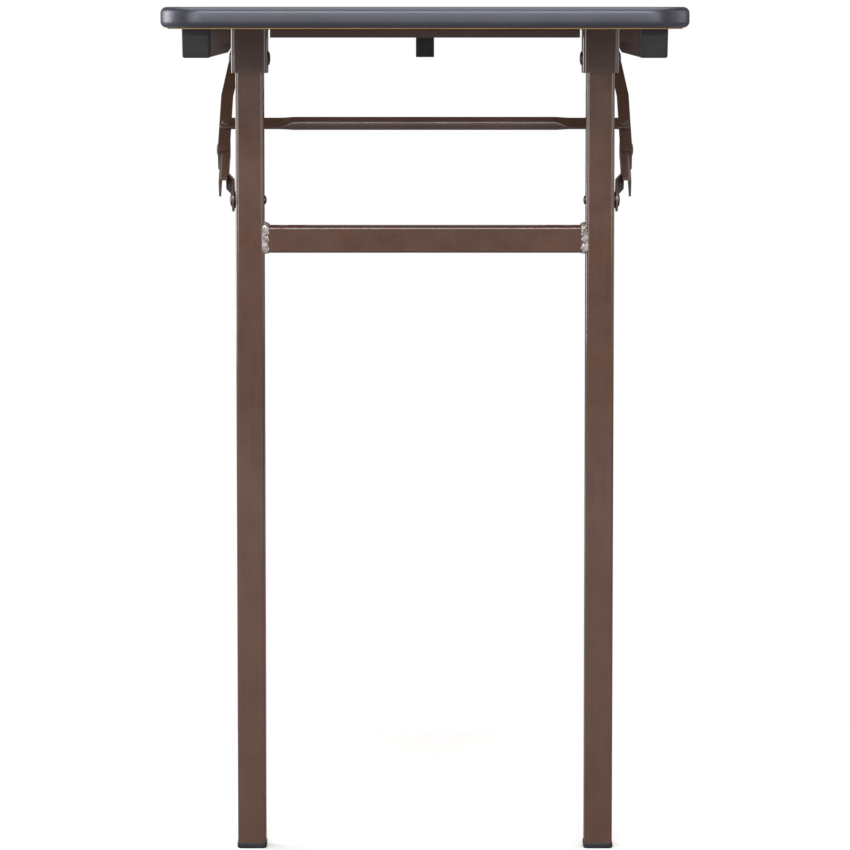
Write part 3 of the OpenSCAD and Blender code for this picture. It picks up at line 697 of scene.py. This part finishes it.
class FOLDINGTABLE_OT_edging(bpy.types.Operator):
    """Make the bull-nose edging"""

    bl_idname = "folding_table.edging"
    bl_label = "Bull-nose edging"

    def section(self, depth, low, high, nose):
        """The edging's section as (out, height), clockwise from its inner bottom corner."""
        small = 0.35 * MM
        steps = 8
        points = [(0.0, low + small), (small, low)]
        for i in range(steps + 1):
            angle = math.pi / 2 * i / steps
            points.append((depth - nose + nose * math.sin(angle), low + nose - nose * math.cos(angle)))
        points.append((depth, (low + high) / 2))
        for i in range(steps + 1):
            angle = math.pi / 2 * i / steps
            points.append((depth - nose + nose * math.cos(angle), high - nose + nose * math.sin(angle)))
        return points + [(small, high), (0.0, high - small)]

    def execute(self, context):
        half = (PANEL_HIGH - PANEL_LOW) / 2
        centre = (PANEL_HIGH + PANEL_LOW) / 2
        depth = BAND_HIGH.x - PANEL_HIGH.x
        section = self.section(depth, BAND_LOW.z, BAND_HIGH.z, shapes().nose_radius)
        path = band_path(half.x, half.y, shapes().panel_corner, 14 * MM, 16)
        gap = shapes().band_seam / 2
        path[0] = (path[0][0] - Vector((0, gap)), path[0][1])
        path[-1] = (path[-1][0] + Vector((0, gap)), path[-1][1])
        rings = []
        for at, out in path:
            slow = noise.noise(Vector((at.x * 7, at.y * 7, 0)))
            quick = noise.noise(Vector((at.x * 40, at.y * 40, 5)))
            wander = shapes().band_ripple * (0.5 + 0.35 * slow + 0.15 * quick)
            ring = []
            for reach, z in section:
                reach -= wander * reach / depth
                ring.append(Vector((centre.x + at.x + out.x * reach, centre.y + at.y + out.y * reach, z)))
            rings.append(ring)
        bm = bmesh.new()
        skin(bm, rings)
        put(bm, "edge_band", crease=40)
        return {"FINISHED"}


class FOLDINGTABLE_OT_bumpers(bpy.types.Operator):
    """Make the stacking bumpers under the corners"""

    bl_idname = "folding_table.bumpers"
    bl_label = "Bumpers"

    def execute(self, context):
        look = shapes()
        for corner in CORNERS:
            node = f"bumper_{corner}"
            low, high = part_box(node)
            centre = (low + high) / 2
            half = (high.x - low.x) / 2
            edge = 1.5 * MM
            outside = []
            for inset, z in (
                (0.0, high.z),
                (look.bumper_draft, low.z + edge),
                (look.bumper_draft + edge * 0.3, low.z + edge * 0.3),
                (look.bumper_draft + edge, low.z),
            ):
                outline = rounded_outline(half - inset, half - inset, 2.5 * MM, 9)
                outside.append(level(outline, centre, z))
            count = len(outside[0])
            angles = [math.tau * i / count for i in range(count)]
            bore = []
            floor = high.z - look.bumper_floor
            for radius, z in (
                (look.bumper_bore + 0.5 * MM, low.z),
                (look.bumper_bore, low.z + 0.5 * MM),
                (look.bumper_bore - 0.15 * MM, floor),
            ):
                circle = [(radius * math.cos(angle), radius * math.sin(angle)) for angle in angles]
                bore.append(level(circle, centre, z))
            bm = bmesh.new()
            skin(bm, outside + bore)
            put(bm, node)
        return {"FINISHED"}


class FOLDINGTABLE_OT_catches(bpy.types.Operator):
    """Make the catches that hold the folded leg frames"""

    bl_idname = "folding_table.catches"
    bl_label = "Leg catches"

    def profile(self, low, high, bar_half):
        """Half of the catch's side view as (along, height), from its middle outwards and back."""
        lip = shapes().catch_lip
        lip_top, lip_foot = low.z + 5.5 * MM, low.z + 3.8 * MM
        throat = low.z + 9 * MM
        base = high.z - 4.5 * MM
        fillet = 2 * MM
        jaw_in = bar_half + 2.5 * MM
        jaw_out = jaw_in + 4.5 * MM
        foot = 1.6 * MM
        end = (high.y - low.y) / 2
        return [
            (jaw_in, base),
            (jaw_in, throat),
            (jaw_in - lip, lip_top),
            (jaw_in - lip, lip_foot),
            (jaw_in + foot, low.z),
            (jaw_out - foot, low.z),
            (jaw_out, low.z + foot),
            (jaw_out, base - fillet),
            (jaw_out + fillet, base),
            (end - fillet, base),
            (end, base + fillet),
            (end, high.z),
        ]

    def execute(self, context):
        for end in ENDS:
            node = f"leg_catch_{end}"
            low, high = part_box(node)
            bar_low, bar_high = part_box(f"crossbar_{end}")
            half = self.profile(low, high, (bar_high.y - bar_low.y) / 2)
            outline = half + [(-y, z) for y, z in reversed(half)]
            centre = (low + high) / 2
            rings = [[Vector((x, centre.y + y, z)) for y, z in outline] for x in (low.x, high.x)]
            bm = bmesh.new()
            skin(bm, rings)
            round_edges(put(bm, node, crease=180), shapes().moulded_round, 3, 20)
        return {"FINISHED"}


class FOLDINGTABLE_OT_brackets(bpy.types.Operator):
    """Make the leg brackets, the brace brackets and the cross rails"""

    bl_idname = "folding_table.brackets"
    bl_label = "Brackets and rails"

    def execute(self, context):
        for corner in CORNERS:
            put_softened(f"leg_bracket_{corner}", shapes().sheet_round)
            put_softened(f"brace_bracket_{corner}", shapes().sheet_round)
        for end in ENDS:
            put_softened(f"cross_rail_{end}", shapes().sheet_round)
        return {"FINISHED"}


# ---- Leg frames ----


class FOLDINGTABLE_OT_tubes(bpy.types.Operator):
    """Make the legs and crossbars"""

    bl_idname = "folding_table.tubes"
    bl_label = "Legs and crossbars"

    def execute(self, context):
        for corner in CORNERS:
            put_softened(f"leg_{corner}", shapes().tube_round)
        for end in ENDS:
            put_softened(f"crossbar_{end}", shapes().tube_round)
        return {"FINISHED"}


class FOLDINGTABLE_OT_welds(bpy.types.Operator):
    """Make the rippled weld round each end of the crossbars"""

    bl_idname = "folding_table.welds"
    bl_label = "Weld beads"

    def bead(self, bm, end, side):
        """One bead round the crossbar where it meets a leg. Side is -1 or 1."""
        look = shapes()
        low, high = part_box(f"crossbar_{end}")
        half = (high.z - low.z) / 2
        centre = (low + high) / 2
        leg_low, leg_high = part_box(f"leg_{end}_right")
        rise = (leg_high.y - leg_low.y) / 2 - half
        climb_up, climb_down = 3 * MM, 1 * MM
        outline = rounded_outline(half, half, look.tube_corner, 10)
        fine = []
        for a, b in zip(outline, outline[1:] + outline[:1]):
            steps = max(1, round(math.dist(a, b) / (0.45 * MM)))
            fine += [Vector(a).lerp(Vector(b), i / steps) for i in range(steps)]
        run = 0.0
        rings = []
        for i, at in enumerate(fine):
            after = fine[(i + 1) % len(fine)]
            before = fine[i - 1]
            along = (after - before).normalized()
            out = Vector((along.y, -along.x))
            run += (at - before).length
            share = abs(out.y)
            climb = rise * (1 - share) + (climb_up if out.y > 0 else climb_down) * share
            drop = 1.3 * MM * (1 - share)
            ring = []
            for step in range(9):
                turn_of_section = math.radians(-8 + 106 * step / 8)
                phase = math.tau * run / look.weld_pitch + 1.6 * math.sin(turn_of_section)
                swell = 1 - look.weld_ripple / look.weld_reach * (1 + math.cos(phase))
                swell += 0.16 * noise.noise(Vector((at.x, at.y, step * MM)) * 260)
                reach = look.weld_reach * math.cos(turn_of_section) * swell
                lift = climb * math.sin(turn_of_section) * swell
                x = high.x - reach + drop * math.sin(turn_of_section) ** 2
                y = centre.y + at.x + out.x * lift
                z = centre.z + at.y + out.y * lift
                ring.append(Vector((side * x, y, z)))
            rings.append(ring)
        loops = [[bm.verts.new(p) for p in ring] for ring in rings]
        weave(bm, loops + loops[:1])

    def execute(self, context):
        for end in ENDS:
            bm = bmesh.new()
            for side in (-1, 1):
                self.bead(bm, end, side)
            put(bm, f"weld_beads_{end}", crease=80)
        return {"FINISHED"}


class FOLDINGTABLE_OT_caps(bpy.types.Operator):
    """Make the foot caps"""

    bl_idname = "folding_table.caps"
    bl_label = "Foot caps"

    def execute(self, context):
        look = shapes()
        for corner in CORNERS:
            low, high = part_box(f"foot_cap_{corner}")
            leg_low, leg_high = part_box(f"leg_{corner}")
            centre = (low + high) / 2
            half = (high.x - low.x) / 2
            leg_half = (leg_high.x - leg_low.x) / 2
            radius = look.tube_corner + half - leg_half
            plug_half = leg_half - 1.6 * MM
            groove, rim = 0.15 * MM, 0.5 * MM
            edge = look.cap_edge
            top = leg_low.z
            rings = []
            levels = [(half * 0.5, look.cap_dish), (half * 0.5 + look.cap_dish, 0.0)]
            for i in range(6):
                angle = math.pi / 2 * i / 5
                levels.append((half - edge + edge * math.sin(angle), edge - edge * math.cos(angle)))
            levels += [
                (half, top * 0.52),
                (half - groove, top * 0.56),
                (half - groove, top * 0.6),
                (half, top * 0.64),
                (half, top - rim),
                (half - groove, top - groove),
                (half - rim, top),
                (plug_half, top),
                (plug_half, high.z),
            ]
            for reach, z in levels:
                outline = rounded_outline(reach, reach, min(radius, reach * 0.6), 6)
                rings.append(level(outline, centre, low.z + z))
            bm = bmesh.new()
            skin(bm, rings)
            put(bm, f"foot_cap_{corner}")
        return {"FINISHED"}


# ---- Braces ----


def brace_directions(end):
    """Along a brace from its elbow to its pin, and square to it on its upper side."""
    along = (JOINT_AT[f"{end}_brace_swing"] - JOINT_AT[f"{end}_left_elbow"]).normalized()
    rise = X_AXIS.cross(along)
    return along, rise if rise.z > 0 else -rise


class FOLDINGTABLE_OT_braces(bpy.types.Operator):
    """Make the upper and lower links"""

    bl_idname = "folding_table.braces"
    bl_label = "Brace links"

    def execute(self, context):
        for corner in CORNERS:
            put_softened(f"upper_link_{corner}", shapes().sheet_round)
            put_softened(f"lower_link_{corner}", shapes().sheet_round)
        return {"FINISHED"}


class FOLDINGTABLE_OT_ties(bpy.types.Operator):
    """Make the tie bars, round in the middle and pressed flat at their ends"""

    bl_idname = "folding_table.ties"
    bl_label = "Tie bars"

    def stations(self, half_length, round_half, taper):
        """Places along half a bar, closer together where its section changes."""
        places = [round_half * i / 6 for i in range(7)]
        places += [round_half + taper * i / 10 for i in range(1, 11)]
        bend = half_length - TIE_CORNER
        places += [bend + TIE_CORNER * math.sin(math.pi / 2 * i / 5) for i in range(6)]
        return [-x for x in reversed(places[1:])] + places

    def ring(self, x, centre, along, rise, sizes):
        """The bar's section at x."""
        radius, flat_half, thick_half, round_half, half_length = sizes
        taper = shapes().tie_taper
        share = min(1.0, max(0.0, (abs(x) - round_half) / taper))
        share = share * share * (3 - 2 * share)
        past = abs(x) - (half_length - TIE_CORNER)
        narrowing = TIE_CORNER - math.sqrt(max(0.0, TIE_CORNER**2 - past**2)) if past > 0 else 0.0
        wide = radius + (flat_half - radius) * share - narrowing
        deep = radius + (thick_half - radius) * share
        power = 1.0 - 0.72 * share
        points = []
        for i in range(48):
            angle = math.tau * (i + 0.5) / 48
            c, s = math.cos(angle), math.sin(angle)
            y = wide * math.copysign(abs(c) ** power, c)
            z = deep * math.copysign(abs(s) ** power, s)
            points.append(centre + X_AXIS * x + along * y + rise * z)
        return points

    def execute(self, context):
        for end in ENDS:
            node = f"tie_bar_{end}"
            along, rise = brace_directions(end)
            points = [v.co for v in frame["nodes"][node].data.vertices]
            centre = middle(points)
            half_length = (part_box(node)[1].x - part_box(node)[0].x) / 2
            flat_half = max(abs((p - centre).dot(along)) for p in points)
            radius = max(abs((p - centre).dot(rise)) for p in points)
            leg_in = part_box(f"crossbar_{end}")[1].x
            round_half = leg_in - TIE_ROUND_INSET
            sizes = (radius, flat_half, shapes().tie_flat / 2, round_half, half_length)
            stations = self.stations(half_length, round_half, shapes().tie_taper)
            bm = bmesh.new()
            skin(bm, [self.ring(x, centre, along, rise, sizes) for x in stations])
            piece = put(bm, node, crease=50)
            drill = bmesh.new()
            turn(drill, centre, rise, [(-2 * radius, 2 * MM), (-radius * 0.4, 2 * MM)])
            cut(piece, loose_object(drill, "drain hole"))
            piece.data.set_sharp_from_angle(angle=math.radians(50))
        return {"FINISHED"}


# ---- Fasteners ----


def steps_along(points, centre, axis):
    """Where a turned CAD solid changes radius: (along, least radius, greatest radius), in order."""
    found = {}
    for point in points:
        along = (point - centre).dot(axis)
        radius = (point - centre - axis * along).length
        key = round(along / (0.05 * MM))
        low, high, total, count = found.get(key, (radius, radius, 0.0, 0))
        found[key] = (min(low, radius), max(high, radius), total + along, count + 1)
    return [(t / n, low, high) for _, (low, high, t, n) in sorted(found.items())]


def rivet(bm, points, centre, axis, low_head=dome, high_head=dome):
    """Turns a rivet with a head at each end, from its CAD solid's own sizes."""
    steps = steps_along(points, centre, axis)
    (low_end, _, low_r), (low_rim, shank, _) = steps[0], steps[1]
    (high_rim, _, _), (high_end, _, high_r) = steps[-2], steps[-1]
    outline = low_head(low_rim, low_end, low_r)
    outline += [(low_rim, shank), (high_rim, shank)]
    outline += list(reversed(high_head(high_rim, high_end, high_r)))
    turn(bm, centre, axis, outline)


class FOLDINGTABLE_OT_rivets(bpy.types.Operator):
    """Make the rivets and washers"""

    bl_idname = "folding_table.rivets"
    bl_label = "Rivets and washers"

    def across(self, node, low_head=dome, high_head=dome):
        """Rivets that lie across the table. The low head is the one nearer the middle of the table."""
        bm = bmesh.new()
        for points in solids_of(node):
            centre = middle(points)
            rivet(bm, points, centre, outward(centre), low_head, high_head)
        put(bm, node)

    def washers(self):
        bm = bmesh.new()
        for points in solids_of("pivot_washers"):
            centre = middle(points)
            steps = steps_along(points, centre, X_AXIS)
            half = (steps[-1][0] - steps[0][0]) / 2
            hole, outside = steps[0][1], steps[0][2]
            edge = 0.25 * MM
            outline = [(-half, hole), (-half, outside - edge), (-half + edge, outside)]
            outline += [(half - edge, outside), (half, outside - edge), (half, hole)]
            turn(bm, centre, X_AXIS, outline)
        put(bm, "pivot_washers")

    def link_heads(self):
        for corner in CORNERS:
            node = f"link_head_{corner}"
            points = solids_of(node)[0]
            centre = middle(points)
            axis = outward(centre)
            steps = steps_along(points, centre, axis)
            rim, end = steps[-2][0], steps[-1][0]
            outline = [(steps[0][0], steps[0][2]), (rim, steps[0][2])]
            bm = bmesh.new()
            turn(bm, centre, axis, outline + list(reversed(dome(rim, end, steps[-1][2]))))
            put(bm, node)

    def ties(self, end):
        """The tie bar's rivets, square to the braces."""
        _, rise = brace_directions(end)
        bar_centre = middle([v.co for v in frame["nodes"][f"tie_bar_{end}"].data.vertices])
        bm = bmesh.new()
        for points in solids_of(f"tie_rivets_{end}"):
            centre = Vector((middle(points).x, bar_centre.y, bar_centre.z))
            rivet(bm, points, centre, rise)
        put(bm, f"tie_rivets_{end}")

    def execute(self, context):
        self.across("leg_pivot_rivets")
        self.across("brace_pins")
        self.washers()
        self.link_heads()
        for end in ENDS:
            self.across(f"leg_rivets_{end}", dome, flat_head)
            self.across(f"elbow_rivets_{end}")
            self.ties(end)
        return {"FINISHED"}


class FOLDINGTABLE_OT_screws(bpy.types.Operator):
    """Make the cross-recess screws under the top"""

    bl_idname = "folding_table.screws"
    bl_label = "Screws"

    def pattern(self, head, thick, shank, length_above):
        """One screw with its head's bearing face at the origin, pointing up."""
        bm = bmesh.new()
        outline = list(dome(0.0, -thick, head, 0.62))
        outline += [(0.0, shank), (length_above, shank)]
        turn(bm, Vector(), UP, outline)
        screw = loose_object(bm, "screw")
        wide = shapes().screw_slot / 2
        long = head * 0.52
        for x, y in ((wide, long), (long, wide)):
            rings = []
            for z, share in ((-thick - MM, 1.0), (-thick, 1.0), (-thick * 0.3, 0.45)):
                outline = [(x * share, y * share), (-x * share, y * share)]
                outline += [(-x * share, -y * share), (x * share, -y * share)]
                rings.append([Vector((px, py, z)) for px, py in outline])
            cutter = bmesh.new()
            skin(cutter, rings)
            cut(screw, loose_object(cutter, "recess"))
        return screw

    def execute(self, context):
        groups = (
            "leg_bracket_screws",
            "brace_bracket_screws",
            "rail_screws_group",
            "catch_screws_group",
            "bumper_screws",
        )
        for node in groups:
            bm = bmesh.new()
            for number, points in enumerate(solids_of(node)):
                centre = middle(points)
                steps = steps_along(points, centre, UP)
                bearing, shank, head = steps[1][0], steps[1][1], steps[0][2]
                pattern = self.pattern(head, bearing - steps[0][0], shank, steps[-1][0] - bearing)
                turn_of_screw = Matrix.Rotation(math.radians(37 * number % 90), 4, "Z")
                spot = Matrix.Translation(Vector((centre.x, centre.y, centre.z + bearing)))
                pattern.data.transform(spot @ turn_of_screw)
                bm.from_mesh(pattern.data)
                bpy.data.objects.remove(pattern)
            put(bm, node)
        return {"FINISHED"}


# ---- Studio ----


def softbox(name, at, aim, width, height, power):
    """A rectangular soft light that faces a point."""
    light = bpy.data.lights.new(name, "AREA")
    light.shape = "RECTANGLE"
    light.size = width
    light.size_y = height
    light.energy = power
    lamp = bpy.data.objects.new(name, light)
    lamp.location = at
    lamp.rotation_euler = (Vector(aim) - Vector(at)).to_track_quat("-Z", "Y").to_euler()
    bpy.context.scene.collection.objects.link(lamp)
    return lamp


def split_light(tree, lit, seen, target):
    """Sends one shader to the camera's own rays, and another to the rays that light the scene."""
    both = tree.nodes.new("ShaderNodeMixShader")
    path = tree.nodes.new("ShaderNodeLightPath")
    for source, socket in zip((path.outputs["Is Camera Ray"], lit, seen), both.inputs):
        tree.links.new(source, socket)
    tree.links.new(both.outputs[0], target)


class FOLDINGTABLE_OT_stage(bpy.types.Operator):
    """Make the floor, the lights and the camera"""

    bl_idname = "folding_table.stage"
    bl_label = "Studio"

    def floor(self):
        bm = bmesh.new()
        bmesh.ops.create_circle(bm, cap_ends=True, radius=30.0, segments=96)
        floor = loose_object(bm, "floor")
        recipe = Recipe("floor")
        recipe.colour(recipe.blended(recipe.noise(1.5), (0.93, 0.93, 0.93), (0.95, 0.95, 0.95)))
        recipe.set(Roughness=0.8, Specular_IOR_Level=0.2)
        recipe.set(Emission_Color=(1.0, 1.0, 1.0, 1.0), Emission_Strength=studio().glow)
        bounced = recipe.tree.nodes.new("ShaderNodeBsdfDiffuse")
        bounced.inputs["Color"].default_value = (*[studio().bounce] * 3, 1.0)
        target = recipe.tree.nodes["Material Output"].inputs["Surface"]
        split_light(recipe.tree, bounced.outputs[0], recipe.shader.outputs[0], target)
        floor.data.materials.append(recipe.material)

    def world(self):
        """A white surround to look at, and a dimmer one to light by."""
        world = bpy.data.worlds.new("studio")
        bpy.context.scene.world = world
        world.use_nodes = True
        tree = world.node_tree
        lit = tree.nodes["Background"]
        seen = tree.nodes.new("ShaderNodeBackground")
        for background, strength in ((lit, studio().room), (seen, 1.0)):
            background.inputs["Color"].default_value = (1.0, 1.0, 1.0, 1.0)
            background.inputs["Strength"].default_value = strength
        split_light(tree, lit.outputs[0], seen.outputs[0], tree.nodes["World Output"].inputs["Surface"])

    def lights(self):
        power = studio()
        aim = (0.0, 0.0, 0.5)
        softbox("overhead", (0.0, -0.3, 3.2), aim, 3.0, 3.6, power.overhead)
        softbox("left", (-2.8, -1.0, 1.3), aim, 2.2, 2.2, power.side)
        softbox("right", (2.8, -1.0, 1.3), aim, 2.2, 2.2, power.side)
        softbox("strip", (0.0, -4.6, 1.62), (0.0, -0.6, 0.64), 3.2, 0.16, power.strip)
        softbox("low_left", (-1.9, -4.6, 0.95), aim, 1.6, 1.2, power.low_left)
        softbox("low_right", (1.9, -4.6, 0.95), aim, 1.6, 1.2, power.low_right)
        softbox("behind", (0.0, 4.2, 1.8), aim, 2.6, 1.6, power.behind)
        softbox("key", (0.0, -4.6, 2.9), (0.0, -0.8, 0.6), 3.2, 0.8, power.key)
        softbox("left_rim", (-2.8, 0.3, 1.0), aim, 1.6, 1.6, power.left_rim)
        softbox("right_rim", (2.8, 0.3, 1.0), aim, 1.6, 1.6, power.right_rim)

    def camera(self):
        view = studio()
        leg_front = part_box("leg_front_left")[0].y
        data = bpy.data.cameras.new("camera")
        data.lens = view.lens
        data.sensor_width = 36.0
        data.clip_start = 0.1
        data.clip_end = view.distance + view.near_half
        camera = bpy.data.objects.new("camera", data)
        camera.location = (0.0, leg_front - view.distance, view.height)
        camera.rotation_euler = (math.pi / 2 - view.pitch, 0.0, 0.0)
        bpy.context.scene.collection.objects.link(camera)
        bpy.context.scene.camera = camera

    def execute(self, context):
        self.floor()
        self.world()
        self.lights()
        self.camera()
        context.scene.view_settings.view_transform = "Standard"
        return {"FINISHED"}


OPERATORS = (
    FOLDINGTABLE_OT_panel,
    FOLDINGTABLE_OT_edging,
    FOLDINGTABLE_OT_bumpers,
    FOLDINGTABLE_OT_catches,
    FOLDINGTABLE_OT_brackets,
    FOLDINGTABLE_OT_tubes,
    FOLDINGTABLE_OT_welds,
    FOLDINGTABLE_OT_caps,
    FOLDINGTABLE_OT_braces,
    FOLDINGTABLE_OT_ties,
    FOLDINGTABLE_OT_rivets,
    FOLDINGTABLE_OT_screws,
    FOLDINGTABLE_OT_stage,
)


class FOLDINGTABLE_PT_panel(bpy.types.Panel):
    """Lists the settings and the pieces"""

    bl_idname = "FOLDINGTABLE_PT_panel"
    bl_label = "Folding Table"
    bl_space_type = "VIEW_3D"
    bl_region_type = "UI"
    bl_category = "Folding Table"

    def draw(self, context):
        for title, group in (("Shapes", shapes()), ("Colours", colours()), ("Studio", studio())):
            box = self.layout.box()
            box.label(text=title)
            for name in group.bl_rna.properties.keys():
                if name not in {"rna_type", "name"}:
                    box.prop(group, name)
        for operator in OPERATORS:
            self.layout.operator(operator.bl_idname)


GROUPS = {
    "folding_table_shapes": FoldingTableShapes,
    "folding_table_colours": FoldingTableColours,
    "folding_table_studio": FoldingTableStudio,
}


def register():
    for name, group in GROUPS.items():
        bpy.utils.register_class(group)
        setattr(bpy.types.Scene, name, PointerProperty(type=group))
    for item in (*OPERATORS, FOLDINGTABLE_PT_panel):
        bpy.utils.register_class(item)


def unregister():
    for item in (FOLDINGTABLE_PT_panel, *reversed(OPERATORS)):
        bpy.utils.unregister_class(item)
    for name, group in GROUPS.items():
        delattr(bpy.types.Scene, name)
        bpy.utils.unregister_class(group)


def main():
    register()
    for operator in OPERATORS:
        group, name = operator.bl_idname.split(".")
        getattr(getattr(bpy.ops, group), name)()


if __name__ == "__main__":
    main()
